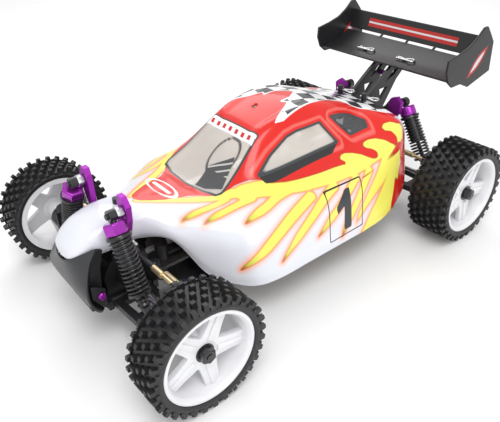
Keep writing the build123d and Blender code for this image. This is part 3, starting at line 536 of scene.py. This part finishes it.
def shellPaint():
    material = bpy.data.materials.new("shellPaint")
    material.use_nodes = True
    nodes, links = material.node_tree.nodes, material.node_tree.links
    shader = nodes["Principled BSDF"]

    def field(name):
        node = nodes.new("ShaderNodeAttribute")
        node.attribute_name = name
        return node.outputs["Fac"]

    def ramp(value, low, high):
        # 1 below low, 0 above high
        node = nodes.new("ShaderNodeMapRange")
        node.inputs["From Min"].default_value = low
        node.inputs["From Max"].default_value = high
        node.inputs["To Min"].default_value = 1
        node.inputs["To Max"].default_value = 0
        links.new(value, node.inputs["Value"])
        return node.outputs[0]

    def over(below, colour, mask):
        return mixColour(nodes, links, mask, below, colour)

    def both(first, second):
        return maths(nodes, links, "MULTIPLY", first, second)

    coord = nodes.new("ShaderNodeTexCoord").outputs["Object"]
    split = nodes.new("ShaderNodeSeparateXYZ")
    links.new(coord, split.inputs[0])
    cloud = nodes.new("ShaderNodeTexNoise")
    cloud.inputs["Scale"].default_value = 28
    links.new(coord, cloud.inputs["Vector"])
    yellow, red, glass = field("yellowEdge"), field("redEdge"), field("glassEdge")
    screen, tip, plate = field("screenEdge"), field("tipShade"), field("plateEdge")
    white = mixColour(nodes, links, cloud.outputs[0], (0.70, 0.71, 0.77), (0.76, 0.77, 0.82))
    colour = over(white, (0.95, 0.42, 0.27), both(ramp(yellow, 0.2, 5.5), ramp(yellow, 0.0, 9.0)))
    lemon = mixColour(nodes, links, cloud.outputs[0], (0.82, 0.76, 0.10), (0.86, 0.80, 0.17))
    lemon = over(lemon, (0.50, 0.56, 0.07), ramp(maths(nodes, links, "SUBTRACT", 1.0, tip), 0.1, 0.9))
    lemon = over(lemon, (0.10, 0.02, 0.01), ramp(maths(nodes, links, "SUBTRACT", 1.0, tip), 0.05, 0.32))
    colour = over(colour, lemon, ramp(yellow, -0.3, 0.3))
    rim = both(ramp(yellow, 0.3, 1.1), ramp(maths(nodes, links, "MULTIPLY", yellow, -1.0), 0.2, 1.0))
    colour = over(colour, (0.75, 0.16, 0.04), maths(nodes, links, "MULTIPLY", rim, 0.55))
    scarlet = mixColour(nodes, links, cloud.outputs[0], (0.62, 0.010, 0.006), (0.70, 0.018, 0.011))
    colour = over(colour, scarlet, ramp(red, -0.25, 0.25))
    redRim = both(ramp(red, 0.2, 0.7), ramp(maths(nodes, links, "MULTIPLY", red, -1.0), 0.1, 0.8))
    colour = over(colour, (0.35, 0.01, 0.005), maths(nodes, links, "MULTIPLY", redRim, 0.7))

    checkEdge = field("checkEdge")
    squares = nodes.new("ShaderNodeTexChecker")
    squares.inputs["Color1"].default_value = (0.85, 0.85, 0.86, 1)
    squares.inputs["Color2"].default_value = (0.03, 0.03, 0.035, 1)
    squares.inputs["Scale"].default_value = 82
    turn = nodes.new("ShaderNodeMapping")
    turn.inputs["Rotation"].default_value = (0, 0, math.radians(12))
    flatten = nodes.new("ShaderNodeCombineXYZ")
    links.new(split.outputs[0], flatten.inputs[0])
    links.new(split.outputs[1], flatten.inputs[1])
    flatten.inputs[2].default_value = 0.0005
    links.new(flatten.outputs[0], turn.inputs["Vector"])
    links.new(turn.outputs[0], squares.inputs["Vector"])
    colour = over(colour, (0.86, 0.86, 0.87), ramp(checkEdge, -0.2, 0.2))
    colour = over(colour, squares.outputs[0], ramp(checkEdge, -1.5, -1.1))

    outline = both(ramp(plate, 0.55, 0.8), ramp(maths(nodes, links, "MULTIPLY", plate, -1.0), 0.1, 0.4))
    colour = over(colour, (0.02, 0.02, 0.022), outline)
    colour = over(colour, (0.035, 0.04, 0.045), ramp(field("digitEdge"), -0.2, 0.2))

    # painted highlight along a pressed rib round the side windows (a lighter band in the paint, not a shape in the
    # skin), the strip under them, then the panes with a dark edge
    ribHighlight = both(ramp(maths(nodes, links, "ABSOLUTE", maths(nodes, links, "SUBTRACT", glass, 3.6)), 0.4, 1.7),
               ramp(maths(nodes, links, "MULTIPLY", screen, -1.0), -7.0, -5.0))
    # lighter pink band on the red paint: painted highlight of the rib round the side windows
    colour = over(colour, (0.85, 0.22, 0.19), both(maths(nodes, links, "MULTIPLY", ribHighlight, 0.55), ramp(red, -1.0, 0.0)))
    colour = over(colour, (0.025, 0.025, 0.027), ramp(field("stripEdge"), -0.2, 0.2))
    colour = over(colour, (0.05, 0.055, 0.06), ramp(glass, 0.5, 0.9))
    film = mixColour(nodes, links, cloud.outputs[0], (0.64, 0.60, 0.55), (0.90, 0.84, 0.78))
    ahead = maths(nodes, links, "MULTIPLY", split.outputs[1], -1000.0)          # mm in front of the middle
    film = over(film, (0.10, 0.105, 0.11), ramp(ahead, -36.5, -36.0))
    clear = ramp(glass, -1.9, -0.9)
    colour = over(colour, film, clear)
    inScreen = ramp(screen, -0.9, -0.5)
    colour = over(colour, (0.12, 0.115, 0.11), both(ramp(field("hoopEdge"), -0.3, 0.3), inScreen))
    vents = nodes.new("ShaderNodeTexWave")
    vents.inputs["Scale"].default_value = 62
    ventTurn = nodes.new("ShaderNodeMapping")
    ventTurn.inputs["Rotation"].default_value = (0, 0, math.radians(62))
    links.new(coord, ventTurn.inputs["Vector"])
    links.new(ventTurn.outputs[0], vents.inputs["Vector"])
    slats = over((0.07, 0.072, 0.075), (0.5, 0.5, 0.48),
                 both(ramp(vents.outputs["Fac"], 0.12, 0.2),
                      ramp(ahead, 66.0, 66.5)))
    panelMask = both(ramp(field("panelEdge"), -0.3, 0.3), inScreen)
    colour = over(colour, slats, panelMask)
    banner = both(ramp(screen, -0.6, -0.2), ramp(ahead, 41.5, 42.0))
    colour = over(colour, (0.87, 0.87, 0.88), banner)
    stripes = nodes.new("ShaderNodeTexWave")
    stripes.inputs["Scale"].default_value = 45
    lean = nodes.new("ShaderNodeMapping")
    lean.inputs["Rotation"].default_value = (0, 0, math.radians(-20))
    links.new(coord, lean.inputs["Vector"])
    links.new(lean.outputs[0], stripes.inputs["Vector"])
    height = maths(nodes, links, "MULTIPLY_ADD", split.outputs[1], 1000.0)      # from the middle of the banner
    height.node.inputs[2].default_value = 38.4
    bars = both(banner, ramp(maths(nodes, links, "ABSOLUTE", height), 1.5, 1.8))
    bars = both(bars, ramp(stripes.outputs["Fac"], 0.4, 0.48))
    colour = over(colour, (0.55, 0.02, 0.02), bars)

    colour = over(colour, (0.84, 0.84, 0.85), ramp(field("emblemEdge"), -0.2, 0.2))
    links.new(colour, shader.inputs["Base Color"])
    see = both(clear, maths(nodes, links, "SUBTRACT", 1.0, banner))
    see = both(see, maths(nodes, links, "SUBTRACT", 1.0, panelMask))
    solid = maths(nodes, links, "SUBTRACT", 1.0, maths(nodes, links, "MULTIPLY", see, 0.42))
    links.new(solid, shader.inputs["Alpha"])
    shader.inputs["Roughness"].default_value = 0.22
    shader.inputs["Specular IOR Level"].default_value = 0.3
    shader.inputs["Coat Weight"].default_value = 0.35
    shader.inputs["Coat Roughness"].default_value = 0.05
    ripple = nodes.new("ShaderNodeBump")
    ripple.inputs["Strength"].default_value = 0.08
    ripple.inputs["Distance"].default_value = 0.002
    links.new(cloud.outputs[0], ripple.inputs["Height"])
    links.new(ripple.outputs[0], shader.inputs["Normal"])
    return material


skin = shellMesh()
shellFields(skin)
shell = place("bodyShell", skin, shellPaint(), "shell", "shell_paint", ["body_shell"])
wall = shell.modifiers.new("wall", "SOLIDIFY")
wall.thickness = shellLook["wall"] * mm
wall.offset = -1
print("shell ready")


# wheels
wheelData = {
    "front": {"axle": axleFront, "inner": 93.0, "outer": 121.0, "rows": 5, "cup": 84.0},
    "rear": {"axle": axleRear, "inner": 83.5, "outer": 118.5, "rows": 6, "cup": 83.0}}
tyreLook = {"pins": 32, "top": 42.4, "carcass": 38.3, "pin": (3.4, 3.7), "taper": 0.82, "margin": 3.2}
shoulderLook = {"long": 1.4, "wide": 3.2, "tall": 2.2, "radius": 38.2}


def tyreMesh(data, mirror):
    inner, outer, axle = data["inner"], data["outer"], data["axle"]
    mid, half, carcass = (inner + outer) / 2, (outer - inner) / 2, tyreLook["carcass"]
    bm = bmesh.new()
    profile = [(-half + 2.2, 31.1), (-half + 2.2, 33.2), (-half - 0.2, 33.6), (-half - 0.9, 35.4), (-half - 0.7, 37),
               (-half + 0.6, 38.3), (-half + 3, carcass), (half - 3, carcass), (half - 0.6, 38.3), (half + 0.7, 37),
               (half + 0.9, 35.4), (half + 0.2, 33.6), (half - 2.2, 33.2), (half - 2.2, 31.1)]
    lathe(bm, [(mid + x, r) for x, r in profile], (axle, axleHeight), 96)
    rows, (pinLong, pinWide) = data["rows"], tyreLook["pin"]
    for row in range(rows):
        spot = mid + (row - (rows - 1) / 2) * (2 * half - tyreLook["margin"]) / (rows - 1)
        for k in range(tyreLook["pins"]):
            angle = 2 * math.pi * (k + 0.5 * (row % 2)) / tyreLook["pins"]
            made = bmesh.ops.create_cube(bm, size=1)["verts"]
            for vert in made:
                shrink = tyreLook["taper"] if vert.co.z > 0 else 1.0
                vert.co = Vector((vert.co.x * pinLong * shrink, vert.co.y * pinWide * shrink,
                                  (tyreLook["top"] if vert.co.z > 0 else carcass - 0.6))) * mm
            spin = Matrix.Rotation(angle, 4, "X")
            bmesh.ops.transform(bm, verts=made, matrix=Matrix.Translation(at(spot, axle, axleHeight)) @ spin)
    for sign in (-1, 1):                     # small blocks on the shoulders
        for k in range(tyreLook["pins"]):
            angle = 2 * math.pi * (k + 0.5) / tyreLook["pins"]
            made = bmesh.ops.create_cube(bm, size=1)["verts"]
            for vert in made:
                vert.co = Vector((vert.co.x * shoulderLook["long"], vert.co.y * shoulderLook["wide"],
                                  vert.co.z * shoulderLook["tall"] + shoulderLook["radius"])) * mm
            spin = Matrix.Rotation(angle, 4, "X")
            spot = at(mid + sign * (half + 0.1), axle, axleHeight)
            bmesh.ops.transform(bm, verts=made, matrix=Matrix.Translation(spot) @ spin)
    if mirror:
        bmesh.ops.scale(bm, verts=bm.verts, vec=(-1, 1, 1))
    return toMesh(bm, "tyre")


rimLook = {"turn": 62.0, "thick": 4.2}


def rimMesh(data, mirror):
    inner, outer, axle = data["inner"], data["outer"], data["axle"]
    bm = bmesh.new()
    centre = (axle, axleHeight)
    lathe(bm, [(inner, 28.8), (inner, 33), (inner + 1.6, 33), (inner + 2.4, 31.1), (outer - 2.4, 31.1),
               (outer - 1.6, 33.2), (outer - 0.4, 33.2), (outer, 32.6), (outer, 31.2), (outer - 1.0, 30.2),
               (outer - 3.0, 29.0)], centre, 96)
    hub = outer - 8.0
    lathe(bm, [(inner, 2.6), (inner, 6.4), (hub - 6, 7.5), (hub - 5, 9.5), (hub, 9.2), (hub + 0.8, 8.4),
               (hub + 0.8, 2.6)], centre, 60)
    arms = []
    for k in range(5):                         # five-armed star, widest at the hub
        turn = math.radians(rimLook["turn"] + 72 * k)
        for radius, swing in ((12.4, -33), (21, -15.5), (29.6, -11), (29.6, 11), (21, 15.5), (12.4, 33)):
            angle = turn + math.radians(swing)
            arms.append((axle + radius * math.cos(angle), axleHeight + radius * math.sin(angle)))
    star = bmesh.new()
    slab(star, arms, hub - 3.4, 0, rimLook["thick"])
    for k in range(5):
        made = bmesh.ops.create_cube(star, size=1)["verts"]
        for vert in made:
            out = vert.co.z > 0
            vert.co = Vector((hub + (1.9 if vert.co.x > 0 else 0.4), vert.co.y * (3.0 if out else 4.6),
                              28.8 if out else 9.0)) * mm
        spin = Matrix.Rotation(math.radians(rimLook["turn"] + 72 * k - 90), 4, "X")
        bmesh.ops.transform(star, verts=made, matrix=Matrix.Translation(at(0, axle, axleHeight)) @ spin)
    bmesh.ops.bevel(star, geom=star.edges, offset=0.5 * mm, segments=2, profile=0.5, affect="EDGES", material=-1)
    shape = bpy.data.meshes.new("star")
    star.to_mesh(shape)
    star.free()
    bm.from_mesh(shape)
    if mirror:
        bmesh.ops.scale(bm, verts=bm.verts, vec=(-1, 1, 1))
    return toMesh(bm, "rim")


def axleMesh(data, mirror):
    # stub axle with its drive cup, and the hexagonal wheel nut
    outer, axle, cup = data["outer"], data["axle"], data["cup"]
    bm = bmesh.new()
    centre = (axle, axleHeight)
    lathe(bm, [(cup - 3.2, 4.7), (cup - 3.2, 6.2), (cup + 5, 6.2), (cup + 5, 2.5), (outer - 1.0, 2.5),
               (outer - 1.0, 0.05), (cup + 3.6, 0.05), (cup + 3.6, 4.7)], centre, 36)
    lathe(bm, [(outer - 7.2, 2.4), (outer - 7.2, 5.4), (outer - 2.4, 5.4), (outer - 1.6, 4.6), (outer - 1.6, 2.4)],
          centre, 6)
    lathe(bm, [(outer - 7.6, 2.4), (outer - 7.6, 6.6), (outer - 6.8, 6.6), (outer - 6.8, 2.4)], centre, 36)
    if mirror:
        bmesh.ops.scale(bm, verts=bm.verts, vec=(-1, 1, 1))
    return toMesh(bm, "axle")


for end, data in wheelData.items():
    for side in ("left", "right"):
        mirror = side == "right"
        body = f"{end}_wheel_{side}"
        place(f"{end}Tyre_{side}", tyreMesh(data, mirror), rubber, body, "tyre", [f"{end}_tyre_{side}"])
        place(f"{end}Rim_{side}", rimMesh(data, mirror), rimWhite, body, "rim_white", [f"{end}_rim_{side}"])
        place(f"{end}Axle_{side}", axleMesh(data, mirror), coilBlack, body, "shaft_steel")
print("wheels ready")


# shocks
shockData = {
    "front": {"y": axleFront - 7.0, "top": (28.5, 103.0), "foot": (60.5, 35.0), "sides": 6, "cap": 8.1},
    "rear": {"y": axleRear + 8.25, "top": (33.0, 100.0), "foot": (70.5, 36.5), "sides": 24, "cap": 7.3}}
coil = {"turns": 12.5, "radius": 7.1, "wire": 0.8, "start": 16.2, "stepsPerTurn": 14}          # ends 22 above the foot
spacerPlane = -150.1                           # rear face of the spacers, at the tower


def ringStack(rings, sides):
    # closed turned piece about +Z from (z, radius) pairs
    bm = bmesh.new()
    verts = [bm.verts.new((r * mm, 0, z * mm)) for z, r in rings]
    edges = [bm.edges.new((verts[k], verts[(k + 1) % len(verts)])) for k in range(len(verts))]
    bmesh.ops.spin(bm, geom=verts + edges, cent=(0, 0, 0), axis=(0, 0, 1), dvec=(0, 0, 0), angle=2 * math.pi,
                   steps=sides, use_merge=True, use_duplicate=False)
    return bm


for end, data in shockData.items():
    for side, sign in (("left", 1), ("right", -1)):
        top = Vector((sign * data["top"][0], data["y"], data["top"][1]))
        foot = Vector((sign * data["foot"][0], data["y"], data["foot"][1]))
        down = (foot - top).normalized()
        length = (foot - top).length
        turn = down.to_track_quat("Z", "Y").to_matrix()
        tall = length - 22 - coil["start"] - 1.0
        count = int(coil["turns"] * coil["stepsPerTurn"])
        points = []
        for k in range(count + 1):
            angle = 2 * math.pi * k / coil["stepsPerTurn"]
            spot = Vector((coil["radius"] * math.cos(angle), coil["radius"] * math.sin(angle),
                           coil["start"] + tall * k / count))
            points.append(top + turn @ spot)
        mesh = wire(f"{end}Spring_{side}", points, coil["wire"], smooth=False)
        spring = place(f"{end}Spring_{side}", mesh, coilBlack, None, "spring_black")
        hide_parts(f"{end}_spring_{side}")
        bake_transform(spring)
        move = Matrix.Translation(top * mm) @ turn.to_4x4()
        wide = data["cap"]
        cap = ringStack([(4.4, 2.6), (4.4, wide - 1), (5.2, wide), (11.6, wide), (12.7, wide - 0.4), (12.7, 2.6)],
                        data["sides"])
        bmesh.ops.transform(cap, verts=cap.verts, matrix=move)
        place(f"{end}Cap_{side}", toMesh(cap, "cap"), purple, f"{end}_shock_body_{side}", "shock_black", bevel=0.3)
        collar = ringStack([(13.0, 6.1), (13.0, 8.3), (13.8, 8.7), (15.0, 8.7), (15.4, 8.2), (15.4, 6.1)], 28)
        bmesh.ops.transform(collar, verts=collar.verts, matrix=move)
        place(f"{end}Collar_{side}", toMesh(collar, "collar"), shockBlack, f"{end}_shock_body_{side}", "shock_black")
        boot = ringStack([(length - 21.5, 1.8)] + [(length - 20.5 + 1.6 * k, 4.6 if k % 2 else 3.6) for k in range(7)]
                         + [(length - 9.3, 1.8)], 20)
        bmesh.ops.transform(boot, verts=boot.verts, matrix=move)
        place(f"{end}Boot_{side}", toMesh(boot, "boot"), shockBlack, f"{end}_shock_rod_{side}", "shock_black")
bm = bmesh.new()
for sign in (-1, 1):                         # bright hexagonal spacers between tower and shock
    nut = ringStack([(-5.4, 2.05), (-5.4, 4.0), (-4.9, 4.4), (-0.5, 4.4), (0, 4.0), (0, 2.05)], 6)
    bmesh.ops.transform(nut, verts=nut.verts, matrix=Matrix.Translation(
        at(sign * shockData["front"]["top"][0], spacerPlane, shockData["front"]["top"][1]))
        @ Matrix.Rotation(math.radians(-90), 4, "X"))
    shape = bpy.data.meshes.new("nut")
    nut.to_mesh(shape)
    nut.free()
    bm.from_mesh(shape)
place("shockSpacers", toMesh(bm, "spacers"), steel, "chassis", "shaft_steel", bevel=0.2)
print("shocks ready")


# front bumper
bumperRows = [   # height, depth at the middle, depth at the edge, half width
    (30, -174, -174, 24), (33, -178, -177.5, 29), (38, -182.5, -181.5, 32.5), (44, -186, -185, 32.5),
    (50, -187.4, -185.6, 31), (56, -187.2, -184.4, 28.6), (62, -187, -181.5, 26), (66, -186.8, -178, 24.4),
    (67.4, -187, -174, 23.6), (68, -187, -169.5, 23.2)]
bumperLook = {"across": 20, "wall": 1.8, "horn": 12.5, "lip": 3}      # lip is how many top rows turn up into horns


def bumperMesh():
    across, last = bumperLook["across"], len(bumperRows) - 1
    bm = bmesh.new()
    bmesh.ops.create_grid(bm, x_segments=across, y_segments=last, size=1)
    for vert in bm.verts:
        u, row = vert.co.x, round((vert.co.y + 1) / 2 * last)
        z, middle, edge, half = bumperRows[row]
        side = abs(u) ** 2.5
        raised = max(0, row - last + bumperLook["lip"]) / bumperLook["lip"] * bumperLook["horn"] * abs(u) ** 1.6
        vert.co = at(u * half, middle + (edge - middle) * side, z + raised)
    bmesh.ops.recalc_face_normals(bm, faces=bm.faces)
    mesh = bpy.data.meshes.new("bumper")
    bm.to_mesh(mesh)
    bm.free()
    return mesh


bumper = place("frontBumper", bumperMesh(), bumperGrey, "chassis", "bumper_grey", ["front_bumper"])
softened = bumper.modifiers.new("soft", "SUBSURF")
softened.levels = softened.render_levels = 2
skinWall = bumper.modifiers.new("wall", "SOLIDIFY")
skinWall.thickness = bumperLook["wall"] * mm
skinWall.offset = 0
bm = bmesh.new()
for side in (-1, 1):                         # dark inner cheeks behind the face
    slab(bm, [(-171.9, 32), (-176, 36), (-183, 46), (-183.2, 56), (-180, 64), (-170, 78), (-166, 76), (-170, 62),
              (-171.5, 48)], side * 19.6, 0, side * 2.4)
    slab(bm, [(-171.9, 32), (-176, 36), (-182.4, 45.5), (-181.6, 56), (-171.9, 50)], side * 26.2, 0, side * 2.2)
slab(bm, [(-16, -181), (16, -181), (16, -171.9), (-16, -171.9)], 28.2, 2, 5)
place("bumperBrace", toMesh(bm, "brace"), black, "chassis", "bumper_grey", bevel=0.5)
bm = bmesh.new()
for side in (-1, 1):
    lathe(bm, [(28.0, 0.05), (28.0, 3.0), (29.4, 3.0), (30.2, 2.2), (30.2, 1.2), (29.4, 1.0), (29.4, 0.05)],
          (-175.4, 45.5), 24)
    if side < 0:
        bmesh.ops.scale(bm, verts=bm.verts, vec=(-1, 1, 1))
place("bumperScrews", toMesh(bm, "screws"), purple, "chassis", "bumper_grey")
print("bumper ready")


# wing
wingLook = {"half": 72.6, "plate": 2.0}
bm = bmesh.new()
slab(bm, [(133.8, 127.2), (146, 127.6), (158, 130.6), (170.4, 136.8), (170, 138.8), (157.4, 132.6), (145.8, 129.6),
          (133.8, 129.0)], -wingLook["half"], 0, 2 * wingLook["half"])
slab(bm, [(173.3, 139.6), (177, 146), (180.2, 156.4), (178.4, 156.6), (175.2, 147), (171.9, 140.6)],
     -wingLook["half"], 0, 2 * wingLook["half"])
for x in (-30, 0, 30):
    slab(bm, [(168.5, 136.2), (173.8, 139.8), (172.4, 141.2), (167.6, 138)], x - 1, 0, 2)
place("wingPlanes", toMesh(bm, "wing"), wingPaint, "chassis", "wing_plastic", ["wing"], bevel=0.5)
bm = bmesh.new()
for side in (-1, 1):
    slab(bm, [(128.1, 147.4), (127.2, 138), (130.8, 128.4), (137.6, 122.6), (150, 122.6), (162, 117.0),
              (178, 120.8), (193.2, 124.4), (191.8, 150.4), (186.2, 157.2), (179.2, 165.4), (174.2, 165.4),
              (166, 158.6), (156, 153), (142, 149.6)], side * 72.4, 0, side * wingLook["plate"])
place("wingPlates", toMesh(bm, "plates"), wingPaint, "chassis", "wing_plastic", bevel=0.6)
print("wing ready")


# R-clips
clipLook = {"wire": 0.65, "ring": 3.2, "reach": 9.0}


def clipPoints(x, y, z):
    # straight prong, round ring at the finger end, then the waved leg back
    ring, reach = clipLook["ring"], x + clipLook["reach"]
    points = [(x - 4, y, z), (x, y, z), (reach - 3, y, z)]
    for angle in (-120, -80, -35, 10, 55, 100, 140):
        points.append((reach + ring * (0.7 + math.cos(math.radians(angle))),
                       y + 1.7 + ring * math.sin(math.radians(angle)), z + 0.4))
    return points + [(reach - 4, y + 2.2, z), (x + 2.5, y + 1.4, z), (x - 0.5, y + 3.6, z), (x - 3.2, y + 2.4, z),
                     (x - 4.6, y + 3.8, z)]


clipSpots = {"clipFront": (0, -141, 94), "clipRearLeft": (14, 98.7, 108.5), "clipRearRight": (-14, 98.7, 108.5)}
for number, (name, spot) in enumerate(clipSpots.items()):
    clip = place(name, wire(name, clipPoints(*spot), clipLook["wire"]), chrome, "clips", "clip_steel")
    if number == 0:
        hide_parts("body_clips")
wingClips = {"spots": {"wingClipLeft": (12, 147, 131.6), "wingClipRight": (-34, 147, 131.6)}, "wire": 0.8}
for name, spot in wingClips["spots"].items():
    place(name, wire(name, clipPoints(*spot), wingClips["wire"]), chrome, "chassis", "clip_steel")
print("clips ready")


# floor, light, camera
ground = bpy.data.meshes.new("ground")
bm = bmesh.new()
bmesh.ops.create_grid(bm, x_segments=1, y_segments=1, size=12)
bm.to_mesh(ground)
bm.free()
floor = bpy.data.objects.new("floor", ground)
bpy.context.collection.objects.link(floor)
ground.materials.append(finish("floorPale", (0.9, 0.9, 0.9), 0.6, grain=0.0, vary=0.0))

world = bpy.data.worlds.new("studio")
bpy.context.scene.world = world
world.use_nodes = True
world.node_tree.nodes["Background"].inputs["Color"].default_value = (1, 1, 1, 1)
world.node_tree.nodes["Background"].inputs["Strength"].default_value = 0.78


def softbox(name, spot, size, power):
    lamp = bpy.data.lights.new(name, "AREA")
    lamp.size = size
    lamp.energy = power
    holder = bpy.data.objects.new(name, lamp)
    bpy.context.collection.objects.link(holder)
    holder.location = spot
    holder.rotation_euler = (Vector((0, 0, 0.05)) - Vector(spot)).to_track_quat("-Z", "Y").to_euler()


softboxes = {   # place and size in metres, power in watts
    "keyLight": ((0.55, -0.35, 1.1), 0.6, 6.5),
    "backLight": ((-0.8, 0.5, 1.0), 0.9, 5),
    "sideLight": ((1.1, -0.2, 0.55), 0.5, 2.5)}
for name, values in softboxes.items():
    softbox(name, *values)

eye = bpy.data.cameras.new("camera")
camera = bpy.data.objects.new("camera", eye)
bpy.context.collection.objects.link(camera)
view = {"spot": (326.93, -279.95, 299.6), "azimuth": 51.84, "elevation": 32.48, "roll": -2.25, "lens": 41.42}
azimuth, elevation, roll = (math.radians(view[k]) for k in ("azimuth", "elevation", "roll"))
back = Vector((math.sin(azimuth) * math.cos(elevation), -math.cos(azimuth) * math.cos(elevation), math.sin(elevation)))
rightward = Vector((0, 0, 1)).cross(back).normalized()
upward = back.cross(rightward)
tiltedRight = math.cos(roll) * rightward + math.sin(roll) * upward
tiltedUp = -math.sin(roll) * rightward + math.cos(roll) * upward
facing = Matrix((tiltedRight, tiltedUp, back)).transposed().to_4x4()
camera.matrix_world = Matrix.Translation(at(*view["spot"])) @ facing
eye.lens = view["lens"]
eye.sensor_width = 36
eye.clip_start = 0.01
bpy.context.scene.camera = camera
bpy.context.scene.view_settings.view_transform = "Standard"
print("camera ready")
